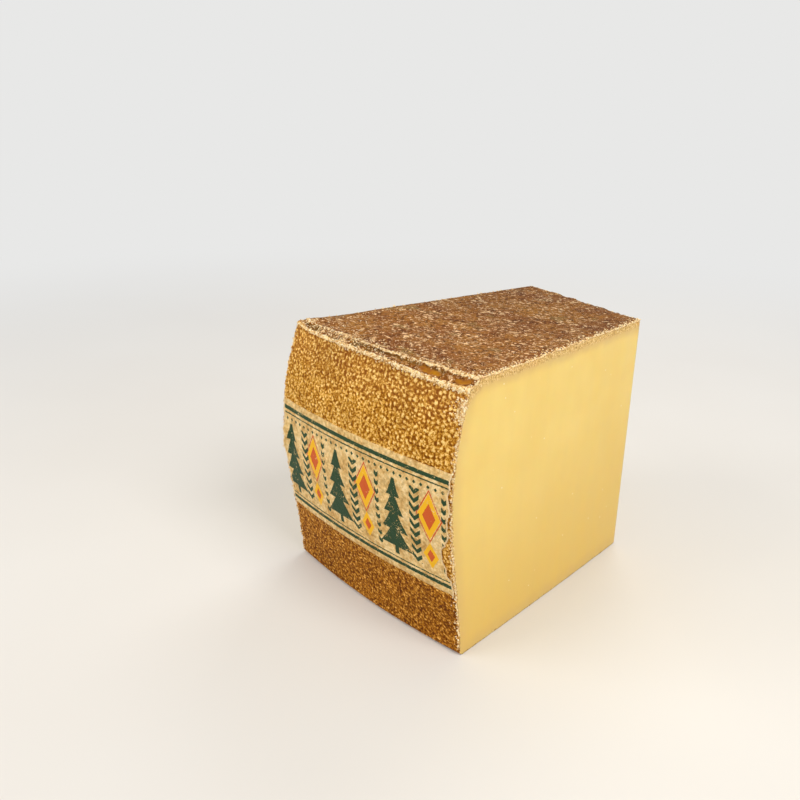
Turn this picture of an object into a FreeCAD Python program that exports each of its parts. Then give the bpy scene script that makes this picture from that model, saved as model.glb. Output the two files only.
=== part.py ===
"""A block of Comte cut from a pressed wheel, with the label band of the wheel's heel still on it.

Two solids: the cheese, which is the wheel's own turned form inside four knife cuts, and the thin
label pressed round the heel, whose two ends were torn when the wheel was cut.
Millimetres.  The wheel is modelled about its own axis with the heel facing -Y, and at the end both
solids move so that the origin lies under the middle of the block, on the face it rests on.
"""

import FreeCAD
import Part
import math
import os

from FreeCAD import Vector

# The wheel that the block comes from.
WHEEL_RADIUS = 340.0
WHEEL_HEIGHT = 100.0
HEEL_BULGE = 7.6  # how far the heel swells past the rims
HEEL_BULGE_SKEW = 1.45  # 1 puts the fullest height half way up, more moves it higher
HEEL_STATIONS = 11
BOTTOM_RIM_ROUND = 2.0

# The shoulder, where the pressing hoop left a hollow behind the wheel's upper edge.
SHOULDER_DROP_LEFT = 1.1
SHOULDER_DROP_RIGHT = 2.7
SHOULDER_DEEPENS_FROM = 0.55  # the drop grows between these shares of the heel's width
SHOULDER_DEEPENS_TO = 0.9
SHOULDER_WIDTH_LEFT = 3.2
SHOULDER_WIDTH_RIGHT = 4.0
SHOULDER_HOLLOW = 0.4  # sag of the shoulder's section below a straight line
SHOULDER_STATIONS = 11

# The cuts, seen from above: two that run inwards from the heel and one across the back.
HEEL_CHORD = 91.6  # from side cut to side cut at the rims, before the bow
LEFT_CUT_LENGTH = 124.0
RIGHT_CUT_LENGTH = 109.0
LEFT_CUT_ANGLE = 5.4  # degrees inwards from square to the heel
RIGHT_CUT_ANGLE = 6.1
CUT_BOW = 0.6  # a wire bends a little in the paste, which leaves each cut face slightly full

# The label band.
LABEL_THICKNESS = 0.4
LABEL_BOTTOM = 25.3
LABEL_TOP = 71.0
LABEL_INSET = 0.3  # least distance from a side cut, before its bow, to the label's end
TEAR_STATIONS = 25
TEAR_ROUGHNESS = 0.9
LEFT_BITE_DEPTH = 1.6
LEFT_BITE_HEIGHT = 60.0
RIGHT_BITE_DEPTH = 3.6
RIGHT_BITE_HEIGHT = 40.0
BITE_REACH = 6.5  # half height of the part of an end that a bite takes

OVERSHOOT = 12.0  # how far cutting tools run past what they cut


def heel_radius(height):
    """The wheel's radius at a height on its heel."""
    share = min(max(height / WHEEL_HEIGHT, 0.0), 1.0)
    return WHEEL_RADIUS + HEEL_BULGE * math.sin(math.pi * share**HEEL_BULGE_SKEW)


def heel_normal(height):
    """The heel's outward direction at a height, as its radial and upright parts."""
    step = 0.01 * WHEEL_HEIGHT
    low = max(height - step, 0.0)
    high = min(height + step, WHEEL_HEIGHT)
    slope = (heel_radius(high) - heel_radius(low)) / (high - low)
    length = math.hypot(1.0, slope)
    return 1.0 / length, -slope / length


def heel_curve(grown):
    """The heel's section from bottom to top in the XZ plane, moved out by a distance."""
    points = []
    for station in range(HEEL_STATIONS):
        height = WHEEL_HEIGHT * station / (HEEL_STATIONS - 1)
        outward, upward = heel_normal(height)
        points.append(Vector(heel_radius(height) + grown * outward, 0, height + grown * upward))
    curve = Part.BSplineCurve()
    curve.interpolate(points)
    return curve.toShape()


def turned(section):
    """A section in the XZ plane, turned once round the wheel's axis."""
    return section.revolve(Vector(0, 0, 0), Vector(0, 0, 1), 360)


def wheel_body(grown=0.0):
    """The whole pressed wheel, or one whose heel stands out further by a distance."""
    heel = heel_curve(grown)
    bottom = heel.Vertexes[0].Point
    top = heel.Vertexes[-1].Point
    outline = Part.Wire(
        [
            Part.makeLine(Vector(0, 0, bottom.z), bottom),
            heel,
            Part.makeLine(top, Vector(0, 0, top.z)),
            Part.makeLine(Vector(0, 0, top.z), Vector(0, 0, bottom.z)),
        ]
    )
    return turned(Part.Face(outline))


def bottom_rim_tool():
    """What the rounding of the lower rim takes away: a corner with its arc left out."""
    size = BOTTOM_RIM_ROUND
    rim = WHEEL_RADIUS
    start = Vector(rim - size, 0, 0)
    end = Vector(heel_radius(size), 0, size)
    middle = Vector(rim - size * (1 - math.sqrt(0.5)), 0, size * (1 - math.sqrt(0.5)))
    outline = Part.Wire(
        [
            Part.Arc(start, middle, end).toShape(),
            Part.makeLine(end, Vector(rim + OVERSHOOT, 0, size)),
            Part.makeLine(Vector(rim + OVERSHOOT, 0, size), Vector(rim + OVERSHOOT, 0, -OVERSHOOT)),
            Part.makeLine(Vector(rim + OVERSHOOT, 0, -OVERSHOOT), Vector(rim - size, 0, -OVERSHOOT)),
            Part.makeLine(Vector(rim - size, 0, -OVERSHOOT), start),
        ]
    )
    return turned(Part.Face(outline))


def between(left, right, share):
    """A value on the way from the left end of the heel, at 0, to the right end, at 1."""
    return left + (right - left) * share


def heel_half_angle():
    """Half the angle that the heel's chord spans at the wheel's axis, in radians."""
    return math.asin(HEEL_CHORD / 2 / WHEEL_RADIUS)


def shoulder_drop(share):
    """How far the heel's upper edge lies below the top at that share of the heel."""
    grown = (share - SHOULDER_DEEPENS_FROM) / (SHOULDER_DEEPENS_TO - SHOULDER_DEEPENS_FROM)
    grown = min(max(grown, 0.0), 1.0)
    return between(SHOULDER_DROP_LEFT, SHOULDER_DROP_RIGHT, grown * grown * (3 - 2 * grown))


def shoulder_section(share):
    """One section of the shoulder tool, standing on the wheel's radius at that share of the heel."""
    drop = shoulder_drop(share)
    width = between(SHOULDER_WIDTH_LEFT, SHOULDER_WIDTH_RIGHT, share)
    inner = Vector(WHEEL_RADIUS - width, 0, WHEEL_HEIGHT)
    outer = Vector(heel_radius(WHEEL_HEIGHT - drop), 0, WHEEL_HEIGHT - drop)
    along = outer - inner
    hollow = Vector(along.z, 0, -along.x).normalize() * SHOULDER_HOLLOW
    corners = [
        outer,
        Vector(WHEEL_RADIUS + HEEL_BULGE + OVERSHOOT, 0, outer.z),
        Vector(WHEEL_RADIUS + HEEL_BULGE + OVERSHOOT, 0, WHEEL_HEIGHT + OVERSHOOT),
        Vector(inner.x, 0, WHEEL_HEIGHT + OVERSHOOT),
        inner,
    ]
    edges = [Part.Arc(inner, (inner + outer) * 0.5 + hollow, outer).toShape()]
    edges += [Part.makeLine(corners[i], corners[i + 1]) for i in range(len(corners) - 1)]
    section = Part.Wire(edges)
    turn = -90.0 + math.degrees(between(-heel_half_angle(), heel_half_angle(), share))
    section.rotate(Vector(0, 0, 0), Vector(0, 0, 1), turn)
    return section


def shoulder_tool():
    """What the hoop pressed in: a lofted ring piece whose section grows from left to right."""
    reach = OVERSHOOT / HEEL_CHORD
    shares = [
        between(-reach, 1 + reach, station / (SHOULDER_STATIONS - 1))
        for station in range(SHOULDER_STATIONS)
    ]
    return Part.makeLoft([shoulder_section(share) for share in shares], True, False)


def heel_end(side):
    """Where a cut meets the rim: side -1 is the left end of the heel and 1 the right end."""
    return Vector(side * HEEL_CHORD / 2, -math.sqrt(WHEEL_RADIUS**2 - (HEEL_CHORD / 2) ** 2), 0)


def cut_direction(side):
    """The way that a side cut runs from the heel into the wheel."""
    angle = math.radians(LEFT_CUT_ANGLE if side < 0 else RIGHT_CUT_ANGLE)
    return Vector(-side * math.sin(angle), math.cos(angle), 0)


def bowed(start, end):
    """A cut seen from above, full by the bow on the right of the way from start to end."""
    along = end - start
    outward = Vector(along.y, -along.x, 0).normalize()
    return Part.Arc(start, (start + end) * 0.5 + outward * CUT_BOW, end).toShape()


def cut_prism():
    """All that lies inside the knife cuts, open past the heel."""
    left_back = heel_end(-1) + cut_direction(-1) * LEFT_CUT_LENGTH
    right_back = heel_end(1) + cut_direction(1) * RIGHT_CUT_LENGTH
    reach = HEEL_BULGE + OVERSHOOT
    left_front = heel_end(-1) - cut_direction(-1) * reach
    right_front = heel_end(1) - cut_direction(1) * reach
    outline = Part.Wire(
        [
            Part.makeLine(left_front, right_front),
            bowed(right_front, right_back),
            bowed(right_back, left_back),
            bowed(left_back, left_front),
        ]
    )
    prism = Part.Face(outline).extrude(Vector(0, 0, WHEEL_HEIGHT + 2 * OVERSHOOT))
    prism.translate(Vector(0, 0, -OVERSHOOT))
    return prism


def cheese_block():
    """The cheese itself, rind and paste in one piece."""
    block = wheel_body().common(cut_prism())
    return block.cut(bottom_rim_tool()).cut(shoulder_tool())


def tear(height, side):
    """How far in from its cut the label's torn end lies at a height."""
    bite_height = LEFT_BITE_HEIGHT if side < 0 else RIGHT_BITE_HEIGHT
    bite_depth = LEFT_BITE_DEPTH if side < 0 else RIGHT_BITE_DEPTH
    rough = 0.5 + 0.3 * math.sin(0.61 * height + side) + 0.2 * math.sin(1.43 * height - 2 * side)
    bite = math.exp(-(((height - bite_height) / BITE_REACH) ** 2))
    return LABEL_INSET + TEAR_ROUGHNESS * rough + bite_depth * bite


def label_end(side):
    """The torn end of the label in the front view, from its bottom to its top."""
    points = []
    for station in range(TEAR_STATIONS):
        height = between(LABEL_BOTTOM, LABEL_TOP, station / (TEAR_STATIONS - 1))
        cut_x = (heel_end(side) - cut_direction(side) * (heel_radius(height) - WHEEL_RADIUS)).x
        points.append(Vector(cut_x - side * tear(height, side), 0, height))
    curve = Part.BSplineCurve()
    curve.interpolate(points)
    return curve.toShape()


def label_band():
    """The label: a skin of even thickness on the heel, between its edges and its torn ends."""
    left = label_end(-1)
    right = label_end(1)
    outline = Part.Wire(
        [
            Part.makeLine(left.Vertexes[0].Point, right.Vertexes[0].Point),
            right,
            Part.makeLine(right.Vertexes[-1].Point, left.Vertexes[-1].Point),
            left,
        ]
    )
    window = Part.Face(outline).extrude(Vector(0, -(WHEEL_RADIUS + HEEL_BULGE + OVERSHOOT), 0))
    return window.common(wheel_body(LABEL_THICKNESS)).cut(wheel_body())


def export(shapes):
    """Moves all solids together over the origin and writes each to its own file."""
    box = Part.makeCompound(list(shapes.values())).optimalBoundingBox(True)
    shift = Vector(-box.Center.x, -box.Center.y, -box.ZMin)
    os.makedirs("parts", exist_ok=True)
    for name, shape in shapes.items():
        placed = Part.makeCompound(shape.Solids)
        placed.translate(shift)
        placed.exportStep(os.path.join("parts", name + ".step"))
        print(name, "solids", len(shape.Solids), "volume_cm3", round(shape.Volume / 1000, 3))
    print("size", round(box.XLength, 2), round(box.YLength, 2), round(box.ZLength, 2))


export({"cheese_block": cheese_block(), "heel_label": label_band()})
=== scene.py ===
"""The looks of a block of pressed cheese with its heel label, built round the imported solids.

The rind is one sheet: it runs under the block, up round the heel, over the shoulder and back over
the top.  Three cut faces close it, so the cheese is one closed body.  Places on the sheet are
(across, along): across from the left cut to the right cut, along from the back of the underside
to the back of the top.  Lengths are in millimetres up to the point where a mesh is made.
"""

import math
from functools import partial, reduce
from itertools import combinations

import bpy
import numpy as np
from mathutils import Euler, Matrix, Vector
from mathutils.geometry import delaunay_2d_cdt


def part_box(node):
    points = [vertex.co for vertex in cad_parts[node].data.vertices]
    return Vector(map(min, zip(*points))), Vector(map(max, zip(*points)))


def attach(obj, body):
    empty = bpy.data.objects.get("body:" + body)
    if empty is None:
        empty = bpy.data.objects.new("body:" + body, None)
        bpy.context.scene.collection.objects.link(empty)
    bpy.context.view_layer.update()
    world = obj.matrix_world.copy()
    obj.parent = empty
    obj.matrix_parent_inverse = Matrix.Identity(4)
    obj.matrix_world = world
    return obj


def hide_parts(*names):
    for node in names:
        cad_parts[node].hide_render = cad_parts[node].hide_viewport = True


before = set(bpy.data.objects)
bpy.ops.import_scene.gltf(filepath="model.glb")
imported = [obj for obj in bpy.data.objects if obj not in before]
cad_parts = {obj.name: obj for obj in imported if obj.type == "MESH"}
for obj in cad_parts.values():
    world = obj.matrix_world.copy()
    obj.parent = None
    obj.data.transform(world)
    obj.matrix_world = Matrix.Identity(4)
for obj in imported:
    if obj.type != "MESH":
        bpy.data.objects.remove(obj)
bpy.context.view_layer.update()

MM = 0.001

# The wheel that the block was cut from, and its knife cuts, with the sizes that the solids have.
WHEEL_RADIUS = 340.0
WHEEL_HEIGHT = 100.0
HEEL_BULGE = 7.6
HEEL_BULGE_SKEW = 1.45
BOTTOM_RIM_ROUND = 2.0
SHOULDER_DROP = (1.1, 2.7)  # at the left end of the heel and at the right end
SHOULDER_DEEPENS = (0.55, 0.9)  # the shares of the heel between which the drop grows
SHOULDER_WIDTH = (3.2, 4.0)
SHOULDER_HOLLOW = 0.4
HEEL_CHORD = 91.6
CUT_LENGTH = {-1: 124.0, 1: 109.0}  # side -1 is the left cut and 1 the right cut
CUT_ANGLE = {-1: math.radians(5.4), 1: math.radians(6.1)}
CUT_BOW = 0.6
CUT_REACH = 19.6  # how far in front of the rim a cut's bow begins

# The shoulder closes up to the top over the last share of the heel before the left cut.
CORNER_SHARE = 0.1
CORNER_CLOSED = 0.85

# The label.
LABEL_THICKNESS = 0.4
LABEL_BOTTOM = 25.3
LABEL_TOP = 71.0
LABEL_INSET = 0.3
TEAR_ROUGHNESS = 0.9
BITE_DEPTH = {-1: 1.6, 1: 3.6}
BITE_HEIGHT = {-1: 60.0, 1: 40.0}
BITE_REACH = 6.5

# The rind sheet: where each stretch begins, counted along the sheet from the back of the underside.
SHEET_WIDTH = 92.0
RIM_START = 114.0
HEEL_START = RIM_START + 3.1
SHOULDER_START = HEEL_START + 98.0
TOP_START = SHOULDER_START + 4.6
SHEET_END = TOP_START + 112.0


# ---------------------------------------------------------------- noise

SEED = 11
HASH_FACTORS = (374761393, 668265263, 974634777)
HASH_MIX = 1274126177
GRAIN_SIZES = (0.76, 1.0)


def scatter(column, row, seed):
    """A repeatable value from 0 to 1 for each whole-numbered place."""
    a, b, c = HASH_FACTORS
    mixed = (column * a + row * b + (SEED + seed) * c) & 0xFFFFFFFF
    mixed = ((mixed ^ (mixed >> 13)) * HASH_MIX) & 0xFFFFFFFF
    return ((mixed ^ (mixed >> 16)) & 0xFFFF) / 0xFFFF


def ease(share):
    """0 to 1 with a level start and end."""
    share = np.clip(share, 0.0, 1.0)
    return share * share * (3.0 - 2.0 * share)


def rise(value, start, end):
    """0 up to start, 1 from end on, and smooth between; start may be the larger."""
    return ease((value - start) / (end - start))


def bell(value):
    """1 at 0, and nearly 0 from 2 on."""
    return np.exp(-(value**2))


def between(ends, share):
    return ends[0] + (ends[1] - ends[0]) * share


def raised(place, height):
    """Places seen from above, with their heights."""
    return np.concatenate([place, height[..., None]], -1)


def soft_noise(x, y, size, seed):
    """Smooth noise from -1 to 1 with features about that size."""
    x, y = x / size, y / size
    column, row = np.floor(x).astype(np.int64), np.floor(y).astype(np.int64)
    right, up = ease(x - column), ease(y - row)
    low = scatter(column, row, seed) * (1 - right) + scatter(column + 1, row, seed) * right
    high = scatter(column, row + 1, seed) * (1 - right) + scatter(column + 1, row + 1, seed) * right
    return 2.0 * (low * (1 - up) + high * up) - 1.0


def wave(x, size, seed):
    """Soft noise along one direction."""
    return soft_noise(x, 0 * x, size, seed)


def rough_noise(x, y, size, seed, octaves=3):
    """Several soft noises, each half as large and half as strong as the one before."""
    total = sum(soft_noise(x, y, size / 2**i, seed + i) / 2**i for i in range(octaves))
    return total / (2.0 - 2.0 ** (1 - octaves))


def grains(x, y, pitch, reach, seed, jitter=0.8, crease=0.0):
    """Rounded grains on an uneven lattice, about 1 on top, with a crease round each if asked."""
    x, y = x / pitch, y / pitch
    column, row = np.floor(x).astype(np.int64), np.floor(y).astype(np.int64)
    total = np.zeros_like(x)
    for right in (-1, 0, 1):
        for up in (-1, 0, 1):
            cell = (column + right, row + up)
            size = between(GRAIN_SIZES, scatter(*cell, seed + 2))
            offset_x = x - cell[0] - 0.5 - jitter * (scatter(*cell, seed) - 0.5)
            offset_y = y - cell[1] - 0.5 - jitter * (scatter(*cell, seed + 1) - 0.5)
            from_top = np.hypot(offset_x, offset_y) / (reach * size)
            total += size * (bell(from_top) - crease * np.exp(-((from_top - 1.75) ** 2) * 2.6))
    return total


# ---------------------------------------------------------------- the wheel and its cuts

def heel_radius(height):
    """The wheel's radius at a height on its heel."""
    share = np.clip(height / WHEEL_HEIGHT, 0.0, 1.0)
    return WHEEL_RADIUS + HEEL_BULGE * np.sin(math.pi * share**HEEL_BULGE_SKEW)


def shoulder_drop(share):
    """How far the heel's upper edge lies below the top at that share of the heel."""
    drop = between(SHOULDER_DROP, rise(share, *SHOULDER_DEEPENS))
    return drop * (1.0 - CORNER_CLOSED * rise(share, CORNER_SHARE, 0.0))


def side_place(side, inward):
    """Where a side cut runs, seen from above, at a distance inwards from the rim."""
    angle = CUT_ANGLE[side]
    share = (inward + CUT_REACH) / (CUT_LENGTH[side] + CUT_REACH)
    bow = 4.0 * CUT_BOW * share * (1.0 - share)
    rim = math.sqrt(WHEEL_RADIUS**2 - (HEEL_CHORD / 2) ** 2)
    x = side * (HEEL_CHORD / 2 - inward * math.sin(angle) + bow * math.cos(angle))
    return np.stack([x, -rim + inward * math.cos(angle) + bow * math.sin(angle)], -1)


def inward_at(side, radius):
    """How far inwards a side cut lies at that distance from the wheel's axis."""
    inward = WHEEL_RADIUS - radius
    for _ in range(6):
        inward = inward + np.hypot(*side_place(side, inward).T) - radius
    return inward


def back_place(share):
    """Where the back cut runs, seen from above, from the left cut at 0 to the right cut at 1."""
    left, right = (side_place(side, np.array(CUT_LENGTH[side])) for side in (-1, 1))
    along = right - left
    outward = np.array([-along[1], along[0]]) / np.hypot(*along)
    share = np.asarray(share)[..., None]
    return left + along * share + outward * 4.0 * CUT_BOW * share * (1.0 - share)


def arc_place(radius, share):
    """A point across the block at a distance from the axis, from the left cut to the right cut."""
    ends = [side_place(side, inward_at(side, radius)) for side in (-1, 1)]
    turn = between([np.arctan2(end[..., 0], -end[..., 1]) for end in ends], share)
    return np.stack([radius * np.sin(turn), -radius * np.cos(turn)], -1)


def flat_place(front_radii, share, back_share):
    """A point of the flat top or underside, between the front arc, the side cuts and the back cut."""
    front = arc_place(between(front_radii, share), share)
    corners = [arc_place(np.array(front_radii[i]), np.array(float(i))) for i in (0, 1)]
    back_ends = [back_place(np.array(float(i))) for i in (0, 1)]
    sides = []
    for side, radius in zip((-1, 1), front_radii):
        first = inward_at(side, np.array(radius))
        sides.append(side_place(side, first + (CUT_LENGTH[side] - first) * back_share))
    s, t = share[..., None], back_share[..., None]
    edges = (1 - t) * front + t * back_place(share) + (1 - s) * sides[0] + s * sides[1]
    left, right = ((1 - t) * corners[i] + t * back_ends[i] for i in (0, 1))
    return edges - (1 - s) * left - s * right


def sheet_base(across, along):
    """The rind sheet's points in the wheel's own frame, with no relief."""
    share = across / SHEET_WIDTH
    drop = shoulder_drop(share)
    inner_radius = WHEEL_RADIUS - between(SHOULDER_WIDTH, share)
    outer_height = WHEEL_HEIGHT - drop
    outer_radius = heel_radius(outer_height)

    turn = np.clip((along - RIM_START) / (HEEL_START - RIM_START), 0, 1) * math.pi / 2
    rim_inner = WHEEL_RADIUS - BOTTOM_RIM_ROUND
    radius = rim_inner + (heel_radius(BOTTOM_RIM_ROUND) - rim_inner) * np.sin(turn)
    height = BOTTOM_RIM_ROUND * (1.0 - np.cos(turn))

    on_heel = along > HEEL_START
    up = np.clip((along - HEEL_START) / (SHOULDER_START - HEEL_START), 0, 1)
    height = np.where(on_heel, between((BOTTOM_RIM_ROUND, outer_height), up), height)
    radius = np.where(on_heel, heel_radius(height), radius)

    on_shoulder = along > SHOULDER_START
    over = np.clip((along - SHOULDER_START) / (TOP_START - SHOULDER_START), 0, 1)
    hollow = SHOULDER_HOLLOW * np.minimum(drop / SHOULDER_DROP[0], 1.0)
    sag = 4.0 * hollow * over * (1.0 - over) / np.hypot(outer_radius - inner_radius, drop)
    shoulder_radius = outer_radius + (inner_radius - outer_radius) * over - drop * sag
    shoulder_height = outer_height + drop * over - (outer_radius - inner_radius) * sag
    radius = np.where(on_shoulder, shoulder_radius, radius)
    height = np.where(on_shoulder, shoulder_height, height)

    place = arc_place(radius, share)
    under, on_top = along < RIM_START, along > TOP_START
    for flat, radii, back_share in (
        (under, (rim_inner, rim_inner), 1.0 - along / RIM_START),
        (on_top, WHEEL_RADIUS - np.array(SHOULDER_WIDTH), (along - TOP_START) / (SHEET_END - TOP_START)),
    ):
        place = np.where(flat[..., None], flat_place(radii, share, np.clip(back_share, 0, 1)), place)
    height = np.where(under, 0.0, np.where(on_top, WHEEL_HEIGHT, height))
    return raised(place, height)


def unit(vectors):
    return vectors / np.linalg.norm(vectors, axis=-1, keepdims=True)


def sheet_normal(across, along, step=0.25):
    """The way out of the cheese, smoothed over the step."""
    left, right = np.maximum(across - step, 0), np.minimum(across + step, SHEET_WIDTH)
    low, high = np.maximum(along - step, 0), np.minimum(along + step, SHEET_END)
    over = sheet_base(right, along) - sheet_base(left, along)
    up = sheet_base(across, high) - sheet_base(across, low)
    return unit(np.cross(over, up))


def cut_normal(side):
    """The way out of a side cut."""
    return np.array([side * math.cos(CUT_ANGLE[side]), math.sin(CUT_ANGLE[side]), 0.0])


def back_normal():
    along = back_place(1.0) - back_place(0.0)
    return unit(np.array([-along[1], along[0], 0.0]))


def wheel_shift():
    """From the wheel's own frame to the block's: the lowest corner stands where the solid's does."""
    across, along = np.meshgrid(np.linspace(0, SHEET_WIDTH, 41), np.linspace(0, SHEET_END, 641))
    return np.array(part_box("cheese_block")[0]) / MM - sheet_base(across.ravel(), along.ravel()).min(0)


SHIFT = wheel_shift()


# ---------------------------------------------------------------- the label's place on the heel

def tear(height, side):
    """How far in from its cut the label's torn end lies at a height."""
    rough = 0.5 + 0.3 * np.sin(0.61 * height + side) + 0.2 * np.sin(1.43 * height - 2 * side)
    bite = bell((height - BITE_HEIGHT[side]) / BITE_REACH)
    return LABEL_INSET + TEAR_ROUGHNESS * rough + BITE_DEPTH[side] * bite


def end_gaps(across, height):
    """How far a place lies inside the label's left end and inside its right end."""
    return across - tear(height, -1), SHEET_WIDTH - tear(height, 1) - across


def edge_gap(height):
    """How far a height lies inside the label's lower and upper edges."""
    return np.minimum(height - LABEL_BOTTOM, LABEL_TOP - height)


def label_cover(across, height):
    """1 well inside the label's outline, 0 outside it."""
    return rise(np.minimum(edge_gap(height), np.minimum(*end_gaps(across, height))), 0.1, 0.9)


# ---------------------------------------------------------------- the rind's relief and masks

COARSE_PITCH, CLOSE_PITCH = 1.62, 1.28  # of the heel's round pebbles and of the closer ones
PEBBLE_HEIGHT = (0.2, 0.34)  # below the label and above it
RIDGE_THICKNESS = (0.38, 0.62)  # at the left end of the heel and at the right end
LINE_THICKNESS = (0.7, 0.9)
# Each waxy patch: its middle and reach as shares of the heel, then past the shoulder's end.
WAXY_PATCHES = ((0.79, 0.058, -2.0, 1.15), (0.945, 0.034, -2.1, 0.7))


def rind_zones(across, along):
    """How far each place lies on the heel, on its bare rind, on the shoulder and on the top."""
    past_ridge, past_shoulder = along - SHOULDER_START, along - TOP_START
    heel = rise(along, RIM_START, HEEL_START + 1.0) * rise(past_ridge, 0.4, -0.8)
    bare = heel * (1.0 - label_cover(across, sheet_base(across, along)[..., 2]))
    shoulder = rise(past_ridge, 0.0, 1.2) * rise(past_shoulder, 0.6, -0.8)
    return heel, bare, shoulder, rise(past_shoulder, -1.0, 1.0)


def pebbles(across, along):
    """The heel's pebbles: round and coarse towards its top and right, closer elsewhere."""
    warp = 0.5 * rough_noise(across, along, 4.0, 0)
    coarse = grains((across + warp) / 1.15, along + warp, COARSE_PITCH, 0.32, 3, 0.74, 0.32)
    close = grains((across - warp) / 1.2, along + warp, CLOSE_PITCH, 0.32, 7, 0.85, 0.3)
    height = sheet_base(across, along)[..., 2]
    rounder = 0.6 * height / WHEEL_HEIGHT + 0.5 * across / SHEET_WIDTH
    rounder = rise(rounder + 0.15 * soft_noise(across, along, 8.0, 9), 0.5, 0.95)
    return np.clip(coarse * (0.2 + 0.8 * rounder) + close * 0.8 * (1.0 - 0.85 * rounder), -0.7, 1.1)


def ridge_lines(across, along):
    """The crumbly ridge over the heel, the finer line past the shoulder, and the furrow between."""
    share, right_gap, past_shoulder = across / SHEET_WIDTH, SHEET_WIDTH - across, along - TOP_START
    thick = between(RIDGE_THICKNESS, share) + 0.24 * wave(across, 4.0, 17)
    ridge = bell((along - SHOULDER_START + 0.35) / (thick + 0.75 * rise(right_gap, 12.0, 2.0)))
    right_end = rise(share, 0.6, 0.85)
    patchy = np.maximum(rise(wave(across, 9.0, 29), -0.6, 0.5), 0.8 * right_end)
    strand = past_shoulder - 0.2 + 0.5 * wave(across, 4.0, 83)
    line = bell(strand / between(LINE_THICKNESS, right_end)) * (0.35 + 0.65 * patchy)
    opening = rise(share + 0.1 * wave(across, 5.0, 33), 0.3, 0.5) * rise(right_gap, 10.0, 16.0)
    return ridge, line, bell((past_shoulder + 0.95) / 0.42) * opening


def sheet_masks(across, along):
    """What colours the rind: pebbles, cream broken rind, smooth waxy patches, dark patches, and painted shade
    in the furrow and at the top's far edges.
    """
    share, right_gap, past_shoulder = across / SHEET_WIDTH, SHEET_WIDTH - across, along - TOP_START
    height = sheet_base(across, along)[..., 2]
    _, bare, on_shoulder, on_top = rind_zones(across, along)
    ridge, line, furrow = ridge_lines(across, along)
    rough = rough_noise(across, along, 1.6, 67)

    mixed = np.maximum(rise(share, 0.62, 0.3), 1.3 * bell((share - 0.88) / 0.05))
    edge_band = np.exp(-right_gap / 1.5) * (on_top + on_shoulder)
    chalky = rise(soft_noise(across + 3.0, along, 8.0, 75) + 0.3 * rough, 0.2, 0.6)
    far_edge = on_top * rise(np.minimum(across, SHEET_END - along), 2.2, 0.2)
    flaked = rise(height, 86.5, 90.0) * rise(height, 97.5, 95.0)
    fringe_width = 0.8 + 0.5 * soft_noise(0 * along, along, 6.0, 71) + 1.1 * flaked
    fringe = np.exp(-right_gap / fringe_width) * bare
    fringes = fringe + 0.8 * np.exp(-across / 0.7) * bare
    spots = rise(rough_noise(across * 0.5, along, 5.0, 73), 0.15, 0.6)
    cream = (
        ridge * 1.25 + 0.42 * rough - 0.3,
        line * between((1.1, 1.25), rise(share, 0.6, 0.85)) + 0.55 * rough - 0.3,
        on_shoulder * mixed * (0.12 + 0.85 * rough),
        1.35 * edge_band + 0.3 * rough - 0.45,
        0.4 * chalky * far_edge,
        fringes * (0.5 + 1.1 * rough) + 1.2 * fringe * spots,
        1.5 * fringe * flaked * (0.6 + 0.9 * rough),
        on_top * rise(past_shoulder, 9.0, 0.5) * (0.2 + 0.75 * rough),
    )
    cream = np.clip(reduce(np.maximum, cream), 0, 1)

    bent = past_shoulder + 0.5 * wave(across, 3.0, 77)
    waxy = sum(np.exp(-(((share - a) / b) ** 4 + ((bent - c) / d) ** 4)) for a, b, c, d in WAXY_PATCHES)
    waxy = on_shoulder * rise(waxy + 0.3 * soft_noise(across, along * 1.5, 2.0, 81), 0.4, 0.6)
    # Dark patches on the shoulder, with painted shade in the furrow and along the top's left and back edges.
    dark = rise(soft_noise(across, along * 2.0, 4.0, 79) + 0.4 * rough, -0.3, 0.4)
    dark = on_shoulder * dark * rise(share, 0.75, 0.5)
    return {
        "grain": pebbles(across, along) * bare,
        "cream": cream * (1.0 - 0.9 * np.clip(furrow + waxy, 0, 1)),
        "smooth": waxy,
        "dark": np.maximum(np.maximum(dark, furrow), 0.7 * far_edge * (1.0 - chalky)),
    }


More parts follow.
